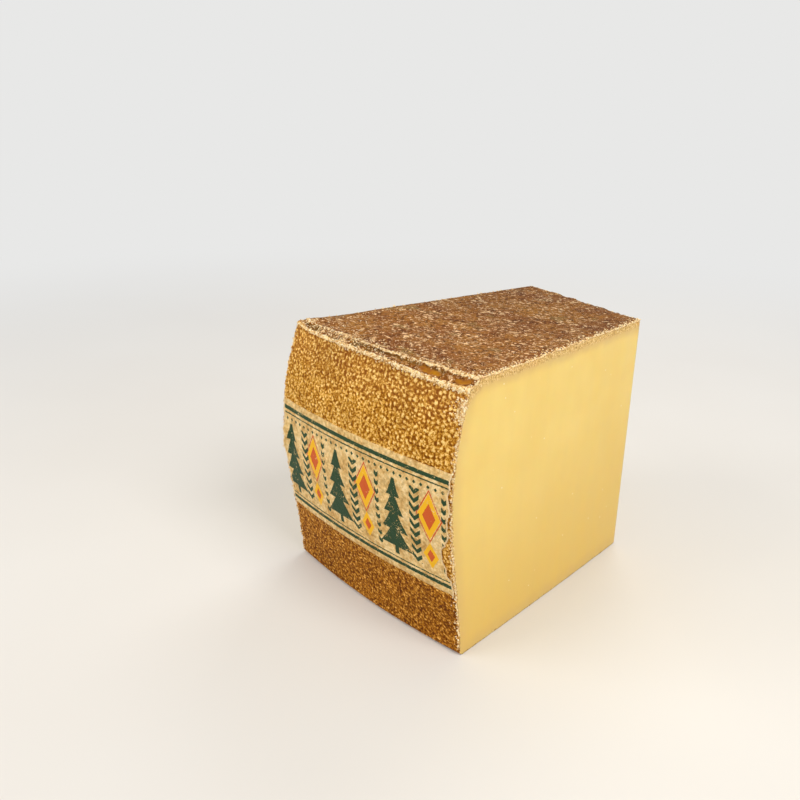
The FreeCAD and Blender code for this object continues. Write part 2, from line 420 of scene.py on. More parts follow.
def sheet_relief(across, along):
    """How far the rind stands out at each place of the sheet."""
    height = sheet_base(across, along)[..., 2]
    side_gap = np.minimum(across, SHEET_WIDTH - across)
    past_ridge, past_shoulder = along - SHOULDER_START, along - TOP_START
    on_heel, bare, on_shoulder, on_top = rind_zones(across, along)
    ridge, line, furrow = ridge_lines(across, along)
    masks = sheet_masks(across, along)

    # The pebbled heel, with slow waves.
    out = between(PEBBLE_HEIGHT, rise(height, 22.0, 74.0)) * masks["grain"]
    out = out + on_heel * 0.22 * rough_noise(across, along, 17.0, 13)

    # The crumbly lines, the furrow, and the corner where the shoulder closes.
    crumb = grains(across, along, 0.95, 0.5, 19)
    out = out + ridge * (0.36 + 0.32 * soft_noise(across, along, 2.3, 23) + 0.42 * (crumb - 0.4))
    out = out + line * (0.2 + 0.36 * (crumb - 0.3)) * rise(across, 0.0, 7.0) - 0.4 * furrow
    out = out + on_shoulder * 0.14 * rough_noise(across, along, 2.6, 31)
    corner = rise(across, 8.0, 0.0) * rise(past_ridge, -1.5, 0.5) * rise(past_shoulder, 14.0, 2.0)
    out = out + 0.4 * corner

    # The dry top, and the underside, which stays above what it stands on.
    crust = rise(rough_noise(across, along, 6.0, 43), 0.1, 0.5) * grains(across, along, 1.3, 0.5, 47)
    top = 0.26 * rough_noise(across, along, 24.0, 37, 2) + 0.13 * rough_noise(across, along, 4.2, 41)
    out = out + on_top * (top + 0.12 * crust)
    under = rise(along, HEEL_START, RIM_START - 1.0)
    out = out - under * 0.16 * (1 + rough_noise(across, along, 3.4, 53))

    # The edges that the knife left are chipped.
    cut_gap = np.where(along > TOP_START - 3.0, np.minimum(side_gap, SHEET_END - along), side_gap)
    chip = np.exp(-cut_gap / 0.9) * rise(soft_noise(across + 7.0, along, 2.4, 59), -0.7, 0.9)
    out = out - (on_top + 0.6 * on_shoulder) * rise(across, 0.0, 4.0) * 0.4 * chip
    out = out + np.exp(-side_gap / 0.8) * bare * 0.35 * soft_noise(across * 2.0, along, 1.1, 61)
    return out - 0.1 * (masks["dark"] + masks["smooth"])


# ---------------------------------------------------------------- the rind sheet

SHEET_PITCHES = (0.41, 0.62, 1.0, 1.6, 2.5)
TOP_EDGE_PITCH = 0.5
UNDER_EDGE_PITCH = 0.8


def sheet_pitch(across, along):
    """How far apart the sheet's points should lie: fine where the rind shows its grain."""
    height = BOTTOM_RIM_ROUND + (along - HEEL_START)
    side_gap = np.minimum(across, SHEET_WIDTH - across)
    pitch = np.where(along > TOP_START + 1.5, SHEET_PITCHES[1], SHEET_PITCHES[0])
    hidden = (height > LABEL_BOTTOM + 2.0) & (height < LABEL_TOP - 3.0)
    hidden &= (across > 4.0) & (across < SHEET_WIDTH - 7.0)
    pitch = np.where(hidden, SHEET_PITCHES[3], pitch)
    edge = np.minimum(side_gap, np.where(along < RIM_START, along, SHEET_END - along))
    pitch = np.where((along > TOP_START) & (edge < 2.5), TOP_EDGE_PITCH, pitch)
    under = np.where(edge < 2.0, UNDER_EDGE_PITCH, SHEET_PITCHES[4])
    return np.where(along < RIM_START - 1.0, under, pitch)


def stepped(start, end, pitch_at):
    """Places from start to end whose gaps follow the pitch."""
    places = [start]
    while places[-1] < end:
        places.append(places[-1] + float(pitch_at(places[-1])))
    places = np.array(places)
    return start + (places - start) * (end - start) / (places[-1] - start)


def graded_lattice(low, high, pitch_at, pitches):
    """Staggered lattices of several pitches, each kept where its own pitch is wanted."""
    kept = []
    for level, pitch in enumerate(pitches):
        rows = np.arange(low[1], high[1], pitch * math.sqrt(0.75))
        x, y = np.meshgrid(np.arange(low[0], high[0], pitch), rows)
        x = x + 0.5 * pitch * (np.arange(len(rows)) % 2)[:, None]
        x, y = x.ravel(), y.ravel()
        wanted = pitch_at(x, y)
        coarser = (*pitches, math.inf)[level + 1]
        keep = (wanted > 0) & (wanted < coarser) & ((wanted >= pitch) | (level == 0))
        kept.append(np.stack([x[keep], y[keep]], -1))
    return np.vstack(kept)


def filled(ring, inner):
    """Triangles between a closed ring of points and the points inside it, all in one plane."""
    points = np.vstack([ring, inner])
    edges = [(i, (i + 1) % len(ring)) for i in range(len(ring))]
    found = delaunay_2d_cdt([Vector(point) for point in points], edges, [], 1, 1e-7)
    source = np.array([origins[0] for origins in found[3]])
    faces = source[np.array([face for face in found[2] if len(face) == 3])]
    a, b, c = (points[faces[:, i]] for i in range(3))
    turn = (b - a)[:, 0] * (c - a)[:, 1] - (b - a)[:, 1] * (c - a)[:, 0]
    faces[turn < 0] = faces[turn < 0][:, ::-1]
    return faces


def ring_of(*runs):
    """A closed ring from its bottom, right, top and left, each x and y along it, and its corners."""
    runs = [np.stack(np.broadcast_arrays(*run), -1) for run in runs]
    runs[2:] = [run[::-1] for run in runs[2:]]
    corners = np.cumsum([0] + [len(run) - 1 for run in runs])
    return np.vstack([run[:-1] for run in runs]), corners


def sheet_ring():
    """The sheet's border, anticlockwise from the back left corner of the underside."""
    bottom = stepped(0.0, SHEET_WIDTH, lambda at: sheet_pitch(np.array(at), 0.0))
    top = stepped(0.0, SHEET_WIDTH, lambda at: sheet_pitch(np.array(at), SHEET_END))
    right = stepped(0.0, SHEET_END, lambda at: sheet_pitch(SHEET_WIDTH, np.array(at)))
    return ring_of((bottom, 0.0), (SHEET_WIDTH, right), (top, SHEET_END), (0.0, right))


def rounded_back(points):
    """The points, with the two upright back edges eased inwards as soft paste is."""
    for share, side in ((0.0, -1), (1.0, 1)):
        corner = back_place(share) + SHIFT[:2]
        inward = -unit((back_normal() + cut_normal(side))[:2])
        gap = np.hypot(*(points[:, :2] - corner).T)
        uneven = 1.0 + 0.25 * wave(points[:, 2], 9.0, 83)
        points[:, :2] += (0.42 * bell(gap / 0.75) * uneven)[:, None] * inward
    return points


def rind_sheet():
    """The sheet's points, faces, flat map and masks, and the ring's four corners."""
    ring, corners = sheet_ring()

    def inside_pitch(x, y):
        pitch = sheet_pitch(x, y)
        gap = np.minimum(np.minimum(x, SHEET_WIDTH - x), np.minimum(y, SHEET_END - y))
        return np.where(gap < 0.55 * pitch, -1.0, pitch)

    inner = graded_lattice((0, 0), (SHEET_WIDTH, SHEET_END), inside_pitch, SHEET_PITCHES)
    flat = np.vstack([ring, inner])
    across, along = flat.T
    out = sheet_normal(across, along)
    for on_edge, normal in (
        (across <= 0, cut_normal(-1)),
        (across >= SHEET_WIDTH, cut_normal(1)),
        ((along <= 0) | (along >= SHEET_END), back_normal()),
    ):
        out[on_edge] -= (out[on_edge] @ normal)[:, None] * normal
    relief = sheet_relief(across, along)[:, None] * out
    points = rounded_back(sheet_base(across, along) + relief + SHIFT)
    points[:, 2] = np.maximum(points[:, 2], 0.0)
    return points, filled(ring, inner), flat, sheet_masks(across, along), corners


# ---------------------------------------------------------------- the cut faces

CUT_PITCHES = (0.5, 0.8, 1.3, 2.1, 3.4)
CUT_KEEP_OUT = 0.75  # inner points stay this far inside the rind, whose border is uneven


def rind_depth(radius, height, share):
    """How deep a place in the cheese lies under the nearest rind."""
    drop, width = shoulder_drop(share), between(SHOULDER_WIDTH, share)
    run = heel_radius(WHEEL_HEIGHT - drop) - WHEEL_RADIUS + width
    shoulder = (WHEEL_RADIUS - width - radius) * drop + (WHEEL_HEIGHT - height) * run
    shoulder = shoulder / np.hypot(run, drop) - SHOULDER_HOLLOW
    flat = np.minimum(height, WHEEL_HEIGHT - height)
    return np.minimum(np.minimum(flat, heel_radius(height) - radius), shoulder)


def knife_marks(along_cut, height, seed):
    """The faint upright waves of a knife drawn down through paste."""
    waves = soft_noise(along_cut, height / 9.0, 7.0, seed)
    waves = waves + 0.5 * soft_noise(along_cut, height / 6.0, 2.6, seed + 1)
    return 0.07 * waves + 0.1 * soft_noise(along_cut, height, 31.0, seed + 2)


def cut_face(ring_points, local, place, depth_at, back_gap_at, normal, seed):
    """The inner points of one cut, its faces, and its ring and inner points in its own plane."""
    ring = local(ring_points)

    def pitch_at(a, b):
        depth, back_gap = depth_at(a, b), back_gap_at(a, b)
        pitch = np.minimum(0.42 + 0.26 * depth, 0.62 + 0.5 * np.maximum(back_gap - 0.9, 0))
        pitch = np.clip(pitch, CUT_PITCHES[0], CUT_PITCHES[-1])
        return np.where((depth < CUT_KEEP_OUT) | (back_gap < 0.4), -1.0, pitch)

    inner = graded_lattice(ring.min(0), ring.max(0), pitch_at, CUT_PITCHES)
    depth = depth_at(*inner.T)
    crumbly = 0.13 * rough_noise(*inner.T, 1.3, seed + 5) * np.exp(-depth / 1.6)
    relief = (knife_marks(*inner.T, seed) - 0.05) * rise(depth, 0.0, 3.0) + crumbly
    points = rounded_back(place(*inner.T)) + relief[:, None] * normal
    return points, filled(ring, inner), np.vstack([ring, inner])


def side_cut(side, ring_points, seed):
    """One side cut, seen along its own plane."""
    rim = side_place(side, np.array(0.0)) + SHIFT[:2]
    inwards = np.array([-side * math.sin(CUT_ANGLE[side]), math.cos(CUT_ANGLE[side])])

    def local(points):
        return np.stack([side * ((points[:, :2] - rim) @ inwards), points[:, 2]], -1)

    def place(a, b):
        return raised(side_place(side, side * a), b) + SHIFT

    def depth_at(a, b):
        return rind_depth(np.hypot(*side_place(side, side * a).T), b, 0.0 if side < 0 else 1.0)

    def back_gap_at(a, b):
        return CUT_LENGTH[side] - side * a

    return cut_face(ring_points, local, place, depth_at, back_gap_at, cut_normal(side), seed)


def back_cut(ring_points, seed):
    """The cut across the back."""
    left, right = back_place(0.0), back_place(1.0)
    length = np.hypot(*(right - left))
    along = (right - left) / length

    def local(points):
        return np.stack([length - (points[:, :2] - SHIFT[:2] - left) @ along, points[:, 2]], -1)

    def place(a, b):
        return raised(back_place(1.0 - a / length), b) + SHIFT

    def depth_at(a, b):
        return np.minimum(b, WHEEL_HEIGHT - b)

    def back_gap_at(a, b):
        return np.minimum(a, length - a)

    return cut_face(ring_points, local, place, depth_at, back_gap_at, back_normal(), seed)


# ---------------------------------------------------------------- meshes

HEEL_SLOT, TOP_SLOT, PASTE_SLOT = 0, 1, 2
MAP_SIZE = 360.0  # how many millimetres of surface the baking map holds on a side
UPRIGHT_PITCH = 0.9


def linked(name, data):
    """A new object in the scene."""
    made = bpy.data.objects.new(name, data)
    bpy.context.scene.collection.objects.link(made)
    return made


def make_object(name, points, faces, materials, slot_of_face=None, corner_map=None, values=None):
    """An object with smooth faces from arrays of points in millimetres and of triangles."""
    mesh = bpy.data.meshes.new(name)
    mesh.from_pydata((points * MM).tolist(), [], faces.tolist())
    for material in materials:
        mesh.materials.append(material)
    mesh.polygons.foreach_set("use_smooth", np.ones(len(faces), bool))
    if slot_of_face is not None:
        mesh.polygons.foreach_set("material_index", slot_of_face.astype(np.int32))
    if corner_map is not None:
        layer = mesh.uv_layers.new(name="OFBake")
        layer.uv.foreach_set("vector", corner_map.astype(np.float32).ravel())
    for key, data in (values or {}).items():
        kind, field = ("FLOAT", "value") if data.ndim == 1 else ("FLOAT_VECTOR", "vector")
        attribute = mesh.attributes.new(key, kind, "POINT")
        attribute.data.foreach_set(field, data.astype(np.float32).ravel())
    mesh.update()
    return linked(name, mesh)


def mark_sharp(mesh, chains):
    """Marks the edges that run along these chains of points as sharp."""
    size = len(mesh.vertices)
    wanted = []
    for chain in chains:
        ends = np.stack([chain[:-1], chain[1:]])
        wanted.append(ends.min(0) * size + ends.max(0))
    pairs = np.empty(len(mesh.edges) * 2, np.int64)
    mesh.edges.foreach_get("vertices", pairs)
    pairs = pairs.reshape(-1, 2)
    found = np.isin(pairs.min(1) * size + pairs.max(1), np.concatenate(wanted))
    sharp = mesh.attributes.new("sharp_edge", "BOOLEAN", "EDGE")
    sharp.data.foreach_set("value", found)


def sheet_slots(faces, flat):
    """The material slot of each face of the sheet: the heel's, or the one for all other rind."""
    along = flat[faces][..., 1].mean(1)
    on_heel = (along > RIM_START + 1.0) & (along < SHOULDER_START + 0.8)
    return np.where(on_heel, HEEL_SLOT, TOP_SLOT)


def cut_depth(points):
    """How deep points inside the block lie under the rind."""
    own = points - SHIFT
    share = np.clip(own[:, 0] / HEEL_CHORD + 0.5, 0, 1)
    return np.maximum(rind_depth(np.hypot(own[:, 0], own[:, 1]), own[:, 2], share), 0)


def cheese_body(materials):
    """The whole cheese: the rind sheet, closed by the three cut faces."""
    points, faces, flat, masks, corners = rind_sheet()
    border = np.arange(corners[-1] + 1) % corners[-1]
    bottom, right, top, left = (border[corners[i] : corners[i + 1] + 1] for i in range(4))

    def upright(low, high):
        """New points up a back edge, between two corners of the sheet."""
        steps = int((points[high, 2] - points[low, 2]) / UPRIGHT_PITCH)
        share = (np.arange(1, steps) / steps)[:, None]
        return points[low] * (1 - share) + points[high] * share

    right_edge, left_edge = upright(right[0], right[-1]), upright(left[-1], left[0])
    right_up = len(points) + np.arange(len(right_edge))
    left_up = len(points) + len(right_edge) + np.arange(len(left_edge))
    points = np.vstack([points, right_edge, left_edge])
    slots, maps, depth = [sheet_slots(faces, flat)], [flat[faces]], [np.zeros(len(points))]
    faces = [faces]
    for cut, ring, seed, map_corner in (
        (partial(side_cut, 1), [right, right_up[::-1]], 101, (230.0, 0.0)),
        (partial(side_cut, -1), [left, left_up], 131, (96.0, 115.0)),
        (back_cut, [bottom[::-1], left_up, top[::-1], right_up[::-1]], 161, (96.0, 0.0)),
    ):
        ring = np.concatenate(ring)
        inner, cut_faces, plane = cut(points[ring], seed)
        index = np.concatenate([ring, len(points) + np.arange(len(inner))])
        points = np.vstack([points, inner])
        faces.append(index[cut_faces])
        slots.append(np.full(len(cut_faces), PASTE_SLOT))
        maps.append((plane - plane.min(0) + map_corner)[cut_faces])
        depth.append(cut_depth(inner))
    values = {key: np.pad(data, (0, len(points) - len(data))) for key, data in masks.items()}
    values["depth"] = np.concatenate(depth)
    corner_map = np.concatenate(maps) / MAP_SIZE + 0.004
    faces, slots = np.vstack(faces), np.concatenate(slots)
    body = make_object("cheese", points, faces, materials, slots, corner_map, values)
    mark_sharp(body.data, [bottom, right, top, left])
    return body


# ---------------------------------------------------------------- the label

LABEL_PITCH, LABEL_BACK_PITCH = 0.55, 2.4
LABEL_END_PITCH, LABEL_EDGE_PITCH = 0.42, 0.6
PAPER = 0.26  # the label's own thickness, less than the skin that the solid gives it
PRESSED_IN = 0.12  # how far the paper's front lies under the solid's


def heel_place(across, height, lift):
    """A point on or off the heel, at a distance across and a height."""
    radius = heel_radius(height)
    slope = heel_radius(height + 0.5) - heel_radius(height - 0.5)
    base = arc_place(radius, across / SHEET_WIDTH)
    off = lift / np.sqrt(1.0 + slope**2)
    place = base + base / radius[:, None] * off[:, None]
    return raised(place, height - slope * off) + SHIFT


def ragged(height, side):
    """The finer raggedness of a torn end."""
    return np.abs(0.28 * wave(height, 1.3, 201 + side) + 0.18 * wave(height, 0.6, 211 + side))


def label_ring():
    """The label's outline on the heel, anticlockwise from the bottom left."""
    rows = np.linspace(LABEL_BOTTOM, LABEL_TOP, int((LABEL_TOP - LABEL_BOTTOM) / LABEL_END_PITCH) + 1)
    left = tear(rows, -1) + ragged(rows, -1)
    right = SHEET_WIDTH - tear(rows, 1) - ragged(rows, 1)
    steps = int(SHEET_WIDTH / LABEL_EDGE_PITCH)
    bottom, top = np.linspace(left[0], right[0], steps), np.linspace(left[-1], right[-1], steps)
    lower = LABEL_BOTTOM + 0.14 * wave(bottom, 5.0, 221)
    upper = LABEL_TOP + 0.14 * wave(top, 5.0, 223)
    return ring_of((bottom, lower), (right, rows), (top, upper), (left, rows))[0]


def label_lift(across, height):
    """How far the label's front stands off the heel: pressed on, rippled, and loose at its ends."""
    from_left, from_right = end_gaps(across, height)
    ripple = 0.05 * rough_noise(across, height, 3.0, 227)
    pressed = 0.06 * grains(across, height, 1.6, 0.5, 229)
    peel = 1.15 * bell((height - 55.0) / 9.0) * rise(from_left, 5.5, 0.0)
    peel = peel * (1.0 + 0.5 * wave(height, 3.1, 231))
    curl = 0.75 * rise(from_right, 1.7, 0.0) * rise(wave(height, 2.6, 233), -0.35, 0.7)
    thinner = 0.1 * np.exp(-edge_gap(height) / 0.5)
    return LABEL_THICKNESS - PRESSED_IN + ripple + pressed - thinner + peel + curl


def heel_label(material):
    """The label: a closed sheet of paper along the heel, torn at both ends."""
    ring = label_ring()

    def inner_points(pitch):
        found = graded_lattice(ring.min(0), ring.max(0), lambda x, y: np.full_like(x, pitch), (pitch,))
        gap = np.minimum(*end_gaps(*found.T)) - 0.46
        return found[np.minimum(gap, edge_gap(found[:, 1]) - 0.14) > 0.4 * pitch]

    front_inner, back_inner = inner_points(LABEL_PITCH), inner_points(LABEL_BACK_PITCH)
    front, back = np.vstack([ring, front_inner]), np.vstack([ring, back_inner])
    front_points = heel_place(*front.T, label_lift(*front.T))
    back_points = heel_place(*back.T, label_lift(*back.T) - PAPER)
    size = len(front)
    here = np.arange(len(ring))
    after = np.roll(here, -1)
    wall = [np.stack([here, here + size, after], -1), np.stack([after, here + size, after + size], -1)]
    faces = [filled(ring, front_inner), filled(ring, back_inner)[:, ::-1] + size, *wall]
    flat = np.vstack([front, back])
    values = {
        "place": raised(flat, np.zeros(len(flat))),
        "torn": rise(np.minimum(*end_gaps(*flat.T)), 1.1, 0.1),
        "hidden": np.concatenate([np.zeros(size), np.ones(len(back))]),
    }
    points = np.vstack([front_points, back_points])
    return make_object("label", points, np.vstack(faces), [material], values=values)


# ---------------------------------------------------------------- crumbs, flakes and torn fibres

STRIP_STEPS = 6
STRIP_THICKNESS = 0.09
CRUMB_INSET, FLAKE_INSET = (0.12, 0.12), (0.1, 0.0)  # from the rind sheet's sides and from its end


def ball_faces():
    """The twelve corners and twenty faces of a regular solid."""
    golden = (1 + math.sqrt(5)) / 2
    corners = []
    for a in (-1, 1):
        for b in (-golden, golden):
            corners += [(0, a, b), (a, b, 0), (b, 0, a)]
    corners = unit(np.array(corners))
    gaps = np.linalg.norm(corners[:, None] - corners[None], axis=-1)
    near = gaps < gaps[0, 1:].min() * 1.01
    faces = []
    for i, j, k in combinations(range(12), 3):
        if near[i, j] and near[j, k] and near[i, k]:
            a, b, c = corners[[i, j, k]]
            outward = np.dot(np.cross(b - a, c - a), a) > 0
            faces.append((i, j, k) if outward else (i, k, j))
    return corners, np.array(faces)


def rind_place(across, along, lift):
    """A point on the relief of the rind sheet, or off it, and the way out of the cheese there."""
    out = sheet_normal(across, along)
    lift = sheet_relief(across, along) + lift
    return rounded_back(sheet_base(across, along) + lift[:, None] * out + SHIFT), out


def gathered(stretches, side_inset, end_inset):
    """The places and sizes of all stretches, kept off the label and inside the sheet's border."""
    across, along, size = (np.concatenate(parts) for parts in zip(*stretches))
    across = np.clip(across, side_inset, SHEET_WIDTH - side_inset)
    along = np.clip(along, HEEL_START, SHEET_END - end_inset)
    free = label_cover(across, sheet_base(across, along)[:, 2]) < 0.2
    return across[free], along[free], size[free]


def crumb_places(random):
    """Where crumbs lie on the rind sheet, and how large each is."""
    stretches = []
    spread, near = random.uniform, random.exponential

    def add(across, along, size):
        stretches.append((across, along, size * random.uniform(0.55, 1.0, len(across)) ** 1.5))

    # Along the ridge over the heel, and along the line past the shoulder.
    ridge = SHEET_WIDTH * spread(0.0, 1.0, 1250) ** 0.75
    spill = random.normal(-0.25, 0.36, 1250) * (0.7 + ridge / SHEET_WIDTH)
    add(ridge, SHOULDER_START + spill, 0.42)
    add(spread(0.0, SHEET_WIDTH, 520), TOP_START + random.normal(0.1, 0.45, 520), 0.32)
    # On the shoulder, and on the front of the top.
    add(spread(0.0, SHEET_WIDTH, 260) * 0.6, spread(SHOULDER_START, TOP_START, 260), 0.3)
    add(spread(0.0, SHEET_WIDTH, 500), TOP_START + near(6.0, 500), 0.27)
    # Along the top's right, left and back edges.
    add(SHEET_WIDTH - near(0.9, 700), spread(SHOULDER_START, SHEET_END, 700), 0.36)
    add(near(0.9, 60), spread(SHOULDER_START, SHEET_END, 60), 0.3)
    add(spread(0.0, SHEET_WIDTH, 60), SHEET_END - near(0.9, 60), 0.3)
    # Up the heel's right and left edges, and in the torn place below the ridge's right end.
    heel = spread(HEEL_START, SHOULDER_START, 420)
    add(SHEET_WIDTH - near(0.5, 420), heel, 0.38)
    add(near(0.45, 220), spread(HEEL_START, SHOULDER_START, 220), 0.34)
    torn = SHOULDER_START - spread(3.0, 10.0, 150)
    add(SHEET_WIDTH - near(1.6, 150), torn, 0.46)

    # Those near the top's left edge are smaller.
    across, along, size = gathered(stretches, *CRUMB_INSET)
    smaller = np.where(along > SHOULDER_START - 1.0, 0.4 + 0.6 * rise(across, 0.5, 3.0), 1.0)
    return across, along, size * smaller


def rind_crumbs(material):
    """Crumbs of dry rind, caught where the rind is rough and where the knife went."""
    random = np.random.default_rng(SEED)
    across, along, size = crumb_places(random)
    middle, _ = rind_place(across, along, 0.3 * size)
    corners, ball = ball_faces()
    count = len(size)
    stretch = random.uniform(0.6, 1.25, (count, 1, 3))
    lumps = random.uniform(0.72, 1.15, (count, len(corners), 1))
    shapes = corners[None] * lumps * stretch * size[:, None, None]
    spin = np.stack([np.array(Euler(turn).to_matrix()) for turn in random.uniform(0, math.tau, (count, 3))])
    shapes = np.einsum("nij,nkj->nki", spin, shapes) + middle[:, None]
    faces = (ball[None] + (np.arange(count) * len(corners))[:, None, None]).reshape(-1, 3)
    values = {"tone": np.repeat(random.uniform(0, 1, count), len(corners))}
    return make_object("rind_crumbs", shapes.reshape(-1, 3), faces, [material], values=values)


def curled_strips(name, strips, material, random):
    """Closed thin strips: each leaves its root along a way and curls outwards."""
    points, faces = [], []
    for root, way, out, length, width, curl in strips:
        aside = unit(np.cross(way, out))
        place, heading = root - 0.25 * length * way, 0.0
        base = len(points)
        for step in range(STRIP_STEPS):
            heading += curl / STRIP_STEPS * random.uniform(0.5, 1.5)
            forward = way * math.cos(heading) + out * math.sin(heading)
            upward = out * math.cos(heading) - way * math.sin(heading)
            half = 0.5 * width * (1.0 - 0.65 * step / (STRIP_STEPS - 1)) * random.uniform(0.75, 1.2)
            for across, up in ((-half, 0.0), (half, 0.0), (half, STRIP_THICKNESS), (-half, STRIP_THICKNESS)):
                points.append(place + aside * across + upward * up)
            place = place + forward * length / STRIP_STEPS
        last = base + 4 * (STRIP_STEPS - 1)
        for low in range(base, last, 4):
            for i in range(4):
                j = (i + 1) % 4
                faces += [(low + i, low + j, low + 4 + j), (low + i, low + 4 + j, low + 4 + i)]
        faces += [(base, base + 2, base + 1), (base, base + 3, base + 2)]
        faces += [(last, last + 1, last + 2), (last, last + 2, last + 3)]
    return make_object(name, np.array(points), np.array(faces), [material])


def label_fibres(material):
    """White paper fibres that curl away from the label's torn ends."""
    random = np.random.default_rng(SEED + 1)
    strips = []
    for side, count in ((1, 46), (-1, 22)):
        height = np.sort(random.uniform(LABEL_BOTTOM + 1.0, LABEL_TOP - 0.5, count))
        end = tear(height, side) + 0.1
        across = SHEET_WIDTH - end if side > 0 else end
        lift = label_lift(across, height) - PAPER / 2
        roots = heel_place(across, height, lift)
        beyond = unit(heel_place(across + side * 0.5, height, lift) - roots)
        away = unit(heel_place(across, height, lift + 0.5) - roots)
        beyond[:, 2] += random.normal(0.0, 0.75, count)
        strips += zip(
            roots,
            unit(beyond),
            away,
            random.uniform(0.5, 1.5, count),
            random.uniform(0.2, 0.55, count),
            random.uniform(0.5, 2.4, count),
        )
    return curled_strips("label_fibres", strips, material, random)


def knife_flakes(material):
    """Flakes of rind that the knife tore up along the heel's two upright edges and the top's edges."""
    random = np.random.default_rng(SEED + 2)
    stretches = []
    for side, start, end, reach, grown, count in (
        (1, HEEL_START, SHOULDER_START, 0.35, 1.0, 60),
        (1, SHOULDER_START, SHEET_END, 0.35, 1.0, 70),
        (-1, HEEL_START, SHEET_END, 0.35, 1.0, 80),
        (1, SHOULDER_START - 10.0, SHOULDER_START - 4.0, 1.5, 1.5, 46),
    ):
        gap = random.exponential(reach, count)
        across = SHEET_WIDTH - gap if side > 0 else gap
        stretches.append((across, random.uniform(start, end, count), np.full(count, grown)))
    across, along, grown = gathered(stretches, *FLAKE_INSET)
    roots, outs = rind_place(across, along, 0.02)
    count = len(across)
    onward = unit(sheet_base(across, np.minimum(along + 0.4, SHEET_END)) - sheet_base(across, along - 0.4))
    sideways = unit(np.cross(onward, outs)) * np.where(across > SHEET_WIDTH / 2, 1, -1)[:, None]
    turn = random.normal(0.0, 0.9, count)[:, None]
    strips = zip(
        roots,
        unit(sideways * np.cos(turn) + onward * np.sin(turn)),
        outs,
        grown * random.uniform(0.5, 1.5, count),
        grown * random.uniform(0.3, 0.8, count),
        random.uniform(0.1, 1.3, count),
    )
    return curled_strips("rind_flakes", strips, material, random)


# ---------------------------------------------------------------- materials

def tone(red, green, blue):
    """A colour written in the usual 0 to 255 steps, as light."""
    def light(value):
        value = value / 255.0
        return value / 12.92 if value <= 0.04045 else ((value + 0.055) / 1.055) ** 2.4

    return (light(red), light(green), light(blue), 1.0)


def operator(operation, swapped=False):
    """A method that adds a math node, with the signal as its first input or as its last."""
    def method(self, *others):
        return self.tree.math(operation, *((*others, self) if swapped else (self, *others)))

    return method


class Signal:
    """A node's output, with arithmetic that adds math nodes; & takes the smaller and | the larger."""

    def __init__(self, tree, socket):
        self.tree, self.socket = tree, socket

    __add__, __sub__, __rsub__ = operator("ADD"), operator("SUBTRACT"), operator("SUBTRACT", True)
    __mul__, __truediv__, __mod__ = operator("MULTIPLY"), operator("DIVIDE"), operator("FLOORED_MODULO")
    __lt__, __gt__ = operator("LESS_THAN"), operator("GREATER_THAN")
    __and__, __or__, __abs__ = operator("MINIMUM"), operator("MAXIMUM"), operator("ABSOLUTE")


class Tree:
    """A node tree, with short calls for the nodes that this script uses."""

    def __init__(self, tree):
        self.nodes, self.links = tree.nodes, tree.links
        self.nodes.clear()

    def node(self, kind, inputs=(), **settings):
        """A new node; each input is linked to a signal, or written if it is plain."""
        made = self.nodes.new(kind)
        for key, value in settings.items():
            setattr(made, key, value)
        for key, value in dict(inputs).items():
            if isinstance(value, Signal):
                self.links.new(value.socket, made.inputs[key])
            else:
                made.inputs[key].default_value = value
        return made

    def out(self, kind, inputs=(), output=0, **settings):
        """One output of a new node."""
        return Signal(self, self.node(kind, inputs, **settings).outputs[output])

    def math(self, operation, *values):
        return self.out("ShaderNodeMath", enumerate(values), operation=operation)

    def vector(self, operation, *values, output=0):
        return self.out("ShaderNodeVectorMath", enumerate(values), output, operation=operation)

    def backed(self, share, shader, backdrop):
        """A shader that cameras and glossy surfaces see as the backdrop, by that share."""
        path = self.nodes.new("ShaderNodeLightPath")
        seen = Signal(self, path.outputs["Is Camera Ray"]) | Signal(self, path.outputs["Is Glossy Ray"])
        return self.out("ShaderNodeMixShader", {0: seen * share, 1: shader, 2: backdrop})


